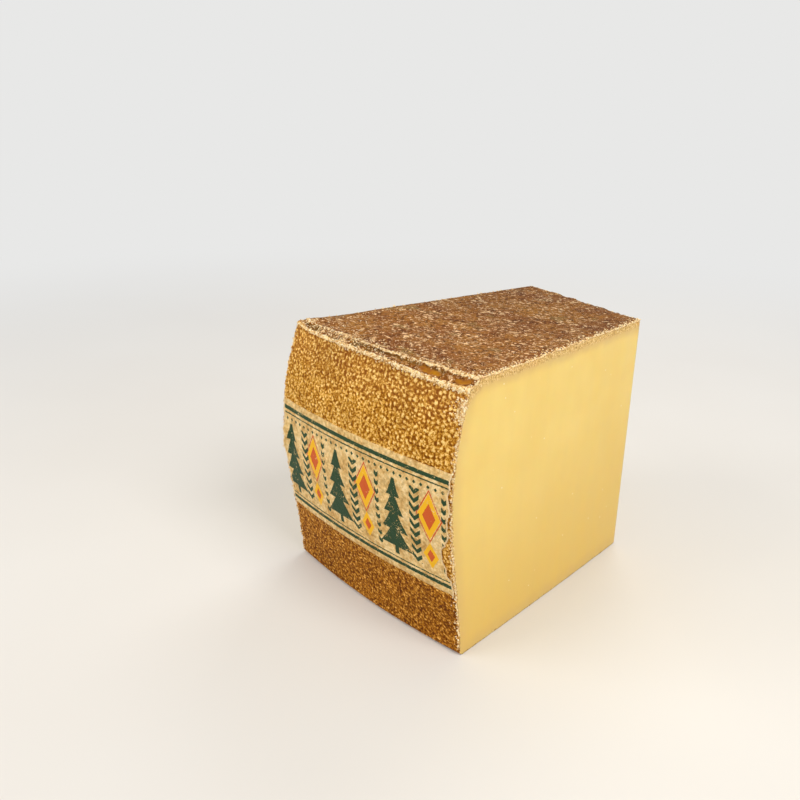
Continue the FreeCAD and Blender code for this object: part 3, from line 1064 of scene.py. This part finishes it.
class Look(Tree):
    """A material."""

    def __init__(self, name):
        self.material = bpy.data.materials.new(name)
        self.material.use_nodes = True
        super().__init__(self.material.node_tree)

    def span(self, value, start, end, low, high, kind="LINEAR"):
        """From low at the start to high at the end, and level outside them."""
        inputs = {"Value": value, "From Min": start, "From Max": end, "To Min": low, "To Max": high}
        return self.out("ShaderNodeMapRange", inputs, interpolation_type=kind)

    def rise(self, value, start, end):
        """0 up to start, 1 from end on, and smooth between; start may be the larger."""
        return self.span(value, start, end, 0.0, 1.0, "SMOOTHSTEP")

    def mix(self, share, first, second):
        """Two colours mixed; a plain one has 0 to 255 steps, or is light if it has four parts."""
        inputs = {0: share, 6: first, 7: second}
        for key in (6, 7):
            if isinstance(inputs[key], tuple) and len(inputs[key]) == 3:
                inputs[key] = tone(*inputs[key])
        return self.out("ShaderNodeMix", inputs, 2, data_type="RGBA")

    def shade(self, colour, amount):
        """A colour made lighter or darker by a factor."""
        return self.vector("MULTIPLY", colour, amount)

    def ramp(self, value, *stops):
        """A run of colours: each stop is a place and a colour in 0 to 255 steps."""
        made = self.node("ShaderNodeValToRGB", {"Fac": value})
        elements = made.color_ramp.elements
        for _ in stops[2:]:
            elements.new(0.5)
        for element, (place, *colour) in zip(elements, stops):
            element.position = place
            element.color = tone(*colour)
        return Signal(self, made.outputs["Color"])

    def places(self, *stretch):
        """Places on the object in millimetres, squeezed along each axis by the stretch if given."""
        factors = tuple(1.0 / (MM * part) for part in stretch or (1.0, 1.0, 1.0))
        return self.vector("MULTIPLY", self.out("ShaderNodeTexCoord", output="Object"), factors)

    def part(self, places, axis):
        """One coordinate of places."""
        return self.out("ShaderNodeSeparateXYZ", {0: places}, axis)

    def noise(self, size, detail=2.0, roughness=0.55, seed=0.0, at=None):
        """Noise from 0 to 1 with features about that many millimetres across."""
        moved = self.vector("ADD", at or self.places(), (seed,) * 3)
        inputs = {"Vector": moved, "Scale": 1.0 / size, "Detail": detail, "Roughness": roughness}
        return self.out("ShaderNodeTexNoise", inputs, "Fac")

    def specks(self, pitch, outer, inner):
        """Small dots scattered about that many millimetres apart; their radii are in pitches."""
        inputs = {"Vector": self.places(), "Scale": 1.0 / pitch}
        return self.rise(self.out("ShaderNodeTexVoronoi", inputs, "Distance"), outer, inner)

    def value(self, name):
        """A value that the mesh carries."""
        return self.out("ShaderNodeAttribute", output="Fac", attribute_name=name)

    def frayed(self, mask, noise, amount, start, end):
        """A mask with its border broken up by noise."""
        return self.rise(mask + (noise - 0.5) * amount, start, end)

    def bump(self, height, depth):
        """A normal bent by a height from 0 to 1 that stands for that many millimetres."""
        inputs = {"Height": height, "Distance": depth * MM, "Strength": 1.0}
        return self.out("ShaderNodeBump", inputs, "Normal")

    def finish(self, colour, roughness, normal=None, specular=0.5, **plain):
        """The material, with this surface."""
        inputs = {key.replace("_", " "): value for key, value in plain.items()}
        inputs.update({"Base Color": colour, "Roughness": roughness, "Specular IOR Level": specular})
        if normal:
            inputs["Normal"] = normal
        self.surface = self.out("ShaderNodeBsdfPrincipled", inputs)
        self.node("ShaderNodeOutputMaterial", {"Surface": self.surface})
        return self.material


CREAM, CREAM_LIGHT = (252, 222, 160), (255, 240, 204)
FLESH_SCATTER = (1.0, 0.62, 0.28)


def crumbly_cream(look):
    """The cream colour of broken rind, mottled at the size of its crumbs."""
    mottle = look.noise(1.0, 4.0, 0.72)
    colour = look.ramp(mottle, (0.34, 150, 94, 38), (0.42, 218, 176, 108), (0.5, *CREAM), (0.6, *CREAM_LIGHT))
    blush = look.rise(look.noise(1.6, seed=87.0), 0.56, 0.66)
    return look.mix(blush * 0.5, colour, (226, 166, 130))


def heel_material():
    """Pebbled heel rind: golden grains over orange-brown, with painted shade that makes it darker below the
    label.
    """
    look = Look("heel_rind")
    fine = look.noise(0.55, 3.0, 0.7)
    worms = look.noise(1.35, 2.0, 0.5, 61.0)
    squiggle = look.rise(abs(look.noise(2.1, 2.0, 0.6, 95.0) - 0.5), 0.05, 0.0)
    level = look.value("grain") * 0.46 + worms * 1.15 + fine + squiggle * 0.3 - 0.8
    upper = (0.05, 126, 70, 4), (0.22, 172, 112, 18), (0.44, 226, 170, 70), (0.72, 255, 220, 142)
    lower = (0.05, 98, 46, 0), (0.25, 138, 80, 6), (0.5, 190, 124, 24), (0.82, 250, 194, 98)
    height = look.part(look.places(), 2)
    # Painted shade: towards its foot the heel takes the darker lower colours.
    below = look.rise(height + look.noise(9.0) * 8.0, 33.0, 27.0)
    near_ridge = look.rise(height + look.noise(7.0, seed=5.0) * 16.0, 88.0, 101.0)
    valley = near_ridge * look.rise(level, 0.6, 0.25)
    colour = look.mix(below, look.ramp(level, *upper), look.ramp(level, *lower))
    colour = look.mix(valley * 0.45, colour, (150, 86, 36))
    colour = look.shade(colour, look.span(look.noise(14.0, seed=9.0), 0.3, 0.7, 0.88, 1.06))
    broken = look.frayed(look.value("cream"), fine, 0.7, 0.32, 0.6)
    colour = look.mix(broken, colour, crumbly_cream(look))
    return look.finish(colour, look.span(level, 0.1, 0.8, 0.66, 0.42), look.bump(fine, 0.11), 0.1)


def top_material():
    """Dry top rind: browns in broad patches, flecked with cream, and creamy where it broke."""
    look = Look("top_rind")
    small = look.noise(0.85, 3.0, 0.75)
    patches = look.noise(19.0, 3.0) * 0.6 + look.noise(3.6, 3.0, seed=3.0) * 0.4
    browns = (0.34, 118, 67, 34), (0.45, 141, 86, 40), (0.55, 159, 104, 46), (0.68, 184, 132, 66)
    colour = look.ramp(patches, *browns)
    golden = look.rise(look.noise(30.0, 1.0, seed=15.0), 0.5, 0.62)
    mould = look.rise(look.noise(11.0, seed=45.0), 0.62, 0.7)
    # Painted shade: the pores and pits are darkened as the shade in small hollows.
    shaded_pores = look.rise(small, 0.52, 0.36)
    shaded_pits = look.rise(look.noise(2.0, 3.0, 0.65, 51.0), 0.47, 0.4)
    for mask, strength, tint in (
        (golden, 0.5, (178, 120, 46)),
        (mould, 0.55, (150, 130, 80)),
        (shaded_pores, 0.9, (92, 48, 16)),
        (shaded_pits, 0.8, (80, 38, 10)),
    ):
        colour = look.mix(mask * strength, colour, tint)

    crowd = (look.noise(9.0, seed=7.0) - 0.5) * 0.3
    flecks = look.rise(look.noise(1.95, 4.0, 0.68, 21.0) + crowd, 0.57, 0.6)
    wrinkles = look.rise(abs(look.noise(4.2, seed=33.0) - 0.5), 0.018, 0.006)
    wrinkles = wrinkles * look.rise(look.noise(7.0, 1.0, seed=35.0), 0.5, 0.6)
    dots = look.rise(look.noise(0.9, 2.0, 0.6, 91.0), 0.62, 0.67)
    flecks = flecks | wrinkles * 0.5 | dots * 0.8
    colour = look.mix(flecks * 0.92, colour, look.ramp(small, (0.36, 186, 132, 78), (0.56, 255, 222, 172)))

    # Painted shade: the top rind darkens towards the back.
    back = look.part(look.places(), 1) + look.noise(20.0, 1.0, seed=71.0) * 30.0
    back_shade = look.mix(look.rise(back, -5.0, 45.0), (1.0, 1.0, 1.0, 1.0), (0.84, 0.85, 0.87, 1.0))
    # The dark mask: dark patches on the shoulder, and painted shade in the furrow and along the top's left
    # and back edges.
    colour = look.mix(look.value("dark") * 0.7, look.shade(colour, back_shade), (104, 78, 38))
    smooth = look.value("smooth")
    waxy = look.ramp(look.noise(3.0, seed=13.0), (0.35, 146, 86, 34), (0.65, 182, 124, 24))
    colour = look.mix(smooth, colour, waxy)
    broken = look.frayed(look.value("cream"), small, 0.9, 0.3, 0.58)
    colour = look.mix(broken, colour, crumbly_cream(look))
    height = (flecks * 0.6 + small * 0.8) * (1.0 - smooth * 0.85)
    return look.finish(colour, 0.7 - smooth * 0.34, look.bump(height, 0.3), 0.04)


def paste_material():
    """Cut paste: pale yellow and satin, with painted shade towards the bottom, a tan band under the rind and
    a crumbly outer edge.
    """
    look = Look("paste")
    depth, height = look.value("depth"), look.part(look.places(), 2)
    near_top = look.rise(height, WHEEL_HEIGHT - 9.0, WHEEL_HEIGHT - 4.0)
    colour = look.ramp(look.noise(26.0), (0.3, 238, 206, 115), (0.7, 243, 215, 128))
    # Painted shade: the paste darkens towards the bottom of the block.
    colour = look.mix(look.rise(height, 92.0, 0.0), colour, (228, 192, 98))
    band = look.frayed(depth, look.noise(6.0, 3.0, seed=4.0), 3.4, 6.4, 1.2)
    colour = look.mix(band * (near_top * 0.45 + 0.35), colour, (214, 176, 112))

    fine = look.noise(0.6, 3.0, 0.7)
    ragged = depth + (look.noise(2.2, 3.0, seed=8.0) - 0.5) * 2.2
    crust = look.rise(ragged / (near_top * 1.9 + 0.7), 1.25, 0.6)
    crumbs = (0.3, 146, 98, 38), (0.43, 198, 152, 78), (0.54, 232, 194, 116), (0.68, *CREAM_LIGHT)
    colour = look.mix(crust * 0.9, colour, look.ramp(fine, *crumbs))
    skin = look.rise(depth + fine * 0.5, 0.75, 0.35)
    colour = look.mix(skin * 0.5, colour, (156, 102, 46))

    marks = look.noise(1.0, at=look.places(0.9, 0.9, 42.0))
    smears = look.noise(1.0, seed=6.0, at=look.places(5.0, 5.0, 26.0))
    colour = look.shade(colour, look.span(smears, 0.3, 0.7, 0.985, 1.01))
    crystals = look.specks(6.5, 0.055, 0.03)
    colour = look.mix(crystals * 0.75, colour, (255, 240, 200))
    colour = look.mix(look.specks(24.0, 0.014, 0.008) * 0.8, colour, (140, 96, 44))
    relief = marks * 0.5 + fine * crust * 2.4 + crystals * 0.5
    return look.finish(
        colour,
        crust * 0.25 + smears * 0.26 + 0.28,
        look.bump(relief, 0.07),
        0.42,
        Subsurface_Weight=0.45,
        Subsurface_Radius=FLESH_SCATTER,
        Subsurface_Scale=3.2 * MM,
    )


# The label's print: a plain repeat of fir trees, lozenges and chevrons between ruled borders.
PRINT_REPEAT = 30.0
DOT_REPEAT, DOT_HEIGHT, DOT_RADIUS = 3.0, 63.9, 0.72
RULES = ((67.2, 68.7), (65.7, 66.2), (27.7, 29.2), (30.2, 30.7))  # lower and upper edges
FIR_TIERS, FIR_TAPER, FIR_NOTCH = 4, 0.78, 0.6
TRUNK_WIDTH, TRUNK_LENGTH = 0.9, 3.0
CHEVRON_PITCH, CHEVRON_SLOPE, CHEVRON_SHARE = 3.3, 0.9, 0.54
GREEN, GREEN_WORN = (16, 50, 26), (40, 74, 40)
YELLOW, RED = (244, 186, 16), (206, 88, 28)


def label_material():
    """Cream paper pressed on pebbled rind, its print speckled and wearing away."""
    look = Look("label_paper")
    place = look.out("ShaderNodeAttribute", output="Vector", attribute_name="place")
    wobble = look.out("ShaderNodeTexNoise", {"Vector": place, "Scale": 1.4, "Detail": 3.0}, "Color")
    wobble = look.vector("ADD", wobble, (-0.5,) * 3)
    moved = look.vector("MULTIPLY_ADD", wobble, (0.5,) * 3, place)
    across, height = look.part(moved, 0), look.part(moved, 1)
    repeat = across % PRINT_REPEAT

    def off(middle):
        """Distance across from the middle of a motif."""
        return abs(repeat - middle)

    def within(low, high):
        return (height > low) & (height < high)

    def lozenge(middle, centre, half_width, half_height):
        """Below 1 inside the lozenge."""
        return off(middle) * (1 / half_width) + abs(height - centre) * (1 / half_height)

    def fir(middle, foot, tip, half_width):
        """A fir tree: tiers of skirts that narrow towards the tip, on a short trunk."""
        share = (height - foot) * (FIR_TIERS / (tip - foot))
        skirt = 1.0 - look.math("FRACT", share) * FIR_NOTCH
        reach = (1.0 - share * (FIR_TAPER / FIR_TIERS)) * skirt * half_width
        trunk = (off(middle) < TRUNK_WIDTH) & within(foot - TRUNK_LENGTH, foot + 0.1)
        return (off(middle) < reach) & within(foot, tip) | trunk

    def chevrons(middle, half_width, low, high):
        climb = (height - off(middle) * CHEVRON_SLOPE) * (1 / CHEVRON_PITCH)
        stripe = look.math("FRACT", climb) < CHEVRON_SHARE
        return stripe & (off(middle) < half_width) & within(low, high)

    dot_gap = abs(across % DOT_REPEAT - DOT_REPEAT / 2) + abs(height - DOT_HEIGHT)
    green = (dot_gap < DOT_RADIUS) | fir(7.0, 35.0, 62.0, 7.6)
    green = green | chevrons(16.6, 2.2, 33.0, 62.0) | chevrons(29.1, 1.1, 33.0, 62.0)
    for low, high in RULES:
        green = green | within(low, high)
    upper, lower = lozenge(22.9, 53.2, 4.8, 8.6), lozenge(22.9, 38.2, 3.3, 5.2)
    yellow = (upper < 1.0) | (lower < 1.0)
    red = (upper < 0.58) | (lower < 0.5) | (upper < 1.16) & (upper > 1.05)

    mottle = look.noise(6.0, 3.0) * 0.45 + look.noise(1.3, 3.0, seed=12.0) * 0.55
    paper = (0.34, 184, 138, 72), (0.44, 214, 174, 106), (0.54, 234, 202, 140), (0.68, 248, 224, 174)
    speckle = look.noise(0.55, 3.0, 0.7, 2.0)
    pressed = look.span(speckle * 0.5 + look.noise(1.5, seed=63.0) * 0.5, 0.38, 0.6, 0.0, 1.0)
    pressed = look.mix(pressed, (0.76, 0.74, 0.7, 1.0), (1.1, 1.1, 1.1, 1.0))
    colour = look.shade(look.ramp(mottle, *paper), pressed)
    kept = look.rise(speckle * 0.6 + look.noise(4.0, 3.0, seed=31.0) * 0.4, 0.64, 0.58)
    kept = kept * (1.0 - look.value("hidden"))
    ink = look.mix(speckle, GREEN, GREEN_WORN)
    for print_mask, print_colour in ((yellow, YELLOW), (red, RED), (green, ink)):
        colour = look.mix(print_mask * kept, colour, print_colour)
    torn = look.frayed(look.value("torn"), speckle, 0.8, 0.35, 0.6)
    colour = look.mix(torn * 0.9, colour, (240, 214, 168))
    relief = speckle * 0.7 + look.noise(1.5, seed=17.0) * 0.8
    return look.finish(colour, speckle * 0.2 + 0.48, look.bump(relief, 0.16), 0.25)


def crumb_material():
    """Dry crumbs of rind, from cream to tan."""
    look = Look("rind_crumb")
    tones = look.value("tone") * 0.7 + look.noise(0.4) * 0.3
    colour = look.ramp(tones, (0.1, 146, 92, 38), (0.26, 208, 160, 94), (0.42, *CREAM), (0.7, *CREAM_LIGHT))
    return look.finish(colour, 0.75, look.bump(look.noise(0.25), 0.06), 0.05)


def fibre_material():
    """Torn paper fibre, near white."""
    look = Look("paper_fibre")
    colour = look.ramp(look.noise(0.7), (0.3, 226, 194, 142), (0.65, 250, 230, 192))
    return look.finish(colour, 0.7, look.bump(look.noise(0.3), 0.05), 0.1)


def flake_material():
    """Flakes of torn rind."""
    look = Look("rind_flake")
    return look.finish(crumbly_cream(look), 0.7, look.bump(look.noise(0.3), 0.06), 0.05)


# ---------------------------------------------------------------- stage, light and camera

BACKDROP = tone(232, 232, 231)
FLOOR_RADIUS, FLOOR_RINGS, FLOOR_SPOKES = 2600.0, 6, 64
FLOOR_FADE = (90.0, 800.0)  # the distances between which the floor fades into the backdrop
FLOOR_BACKDROP = 0.12  # the share of backdrop that it has from the start
WORLD_COLOUR, WORLD_STRENGTH = (1.0, 0.98, 0.95, 1.0), 0.42
LIGHT_HEIGHT = 0.05  # the soft boxes face this height over the floor, in metres
# Each soft box: its name, azimuth, elevation, distance and size in metres, power and colour.
SOFT_BOXES = (
    ("key", 82.0, 46.0, 0.8, 0.4, 3.9, (1.0, 0.97, 0.92)),
    ("fill", -24.0, 34.0, 0.8, 0.5, 2.6, (1.0, 0.96, 0.9)),
    ("back", 205.0, 40.0, 0.9, 0.5, 2.2, (1.0, 0.97, 0.93)),
)
CAMERA_PLACE = (209.1, -231.7, 179.8)
CAMERA_AZIMUTH = 48.169
CAMERA_DOWN = 19.865
CAMERA_ROLL = 1.048
CAMERA_LENS = 37.24


def floor():
    """A plain pale floor, far wider than the view, which fades into the backdrop with distance."""
    look = Look("floor")
    look.finish(look.ramp(look.noise(160.0), (0.3, 226, 222, 216), (0.7, 230, 227, 222)), 0.6)
    distance = look.vector("LENGTH", look.places(), output="Value")
    far = look.rise(distance, *FLOOR_FADE) * (1.0 - FLOOR_BACKDROP) + FLOOR_BACKDROP
    glow = look.out("ShaderNodeEmission", {"Color": BACKDROP})
    output = next(node for node in look.nodes if node.type == "OUTPUT_MATERIAL")
    look.links.new(look.backed(far, look.surface, glow).socket, output.inputs["Surface"])
    turns = np.linspace(0, math.tau, FLOOR_SPOKES, endpoint=False)
    around = np.stack([np.cos(turns), np.sin(turns), 0 * turns], -1)
    radii = FLOOR_RADIUS * (np.arange(1, FLOOR_RINGS + 1) / FLOOR_RINGS) ** 2
    points = np.vstack([np.zeros((1, 3)), *(radius * around for radius in radii)])
    faces = []
    for spoke in range(FLOOR_SPOKES):
        after = (spoke + 1) % FLOOR_SPOKES
        faces.append((0, 1 + spoke, 1 + after))
        for near in range(1, 1 + (FLOOR_RINGS - 1) * FLOOR_SPOKES, FLOOR_SPOKES):
            far = near + FLOOR_SPOKES
            faces += [(near + spoke, far + spoke, far + after), (near + spoke, far + after, near + after)]
    make_object("floor", points, np.array(faces), [look.material])


def soft_light(name, azimuth, elevation, distance, size, power, colour):
    """A square soft box that faces the middle of the block; azimuth 0 stands in front of the heel."""
    data = bpy.data.lights.new(name, "AREA")
    data.shape = "SQUARE"
    data.size, data.energy, data.color = size, power, colour
    light = linked(name, data)
    a, e = math.radians(azimuth), math.radians(elevation)
    way = Vector((math.sin(a) * math.cos(e), -math.cos(a) * math.cos(e), math.sin(e)))
    light.location = Vector((0, 0, LIGHT_HEIGHT)) + way * distance
    light.rotation_euler = way.to_track_quat("Z", "Y").to_euler()


def studio():
    """The lamps, and a world that gives soft light and shows the backdrop."""
    for soft_box in SOFT_BOXES:
        soft_light(*soft_box)
    world = bpy.data.worlds.new("studio")
    bpy.context.scene.world = world
    world.use_nodes = True
    tree = Tree(world.node_tree)
    light = tree.out("ShaderNodeBackground", {"Color": WORLD_COLOUR, "Strength": WORLD_STRENGTH})
    backdrop = tree.out("ShaderNodeBackground", {"Color": BACKDROP})
    tree.node("ShaderNodeOutputWorld", {"Surface": tree.backed(1.0, light, backdrop)})


def camera():
    data = bpy.data.cameras.new("camera")
    data.lens, data.sensor_width = CAMERA_LENS, 36.0
    made = linked("camera", data)
    look = Euler((math.radians(90.0 - CAMERA_DOWN), 0.0, math.radians(CAMERA_AZIMUTH))).to_matrix()
    roll = Euler((0.0, 0.0, math.radians(CAMERA_ROLL))).to_matrix()
    made.matrix_world = (look @ roll).to_4x4()
    made.location = Vector(CAMERA_PLACE) * MM
    bpy.context.scene.camera = made
    bpy.context.scene.view_settings.view_transform = "Standard"


# ---------------------------------------------------------------- the scene

def dress(piece, slot, *nodes):
    """Puts a piece on the block's body."""
    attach(piece, "root")
    if nodes:
        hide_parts(*nodes)


dress(cheese_body([heel_material(), top_material(), paste_material()]), "cheese_paste", "cheese_block")
dress(heel_label(label_material()), "label_paper", "heel_label")
dress(rind_crumbs(crumb_material()), "cheese_paste")
dress(knife_flakes(flake_material()), "cheese_paste")
dress(label_fibres(fibre_material()), "label_paper")
floor()
studio()
camera()
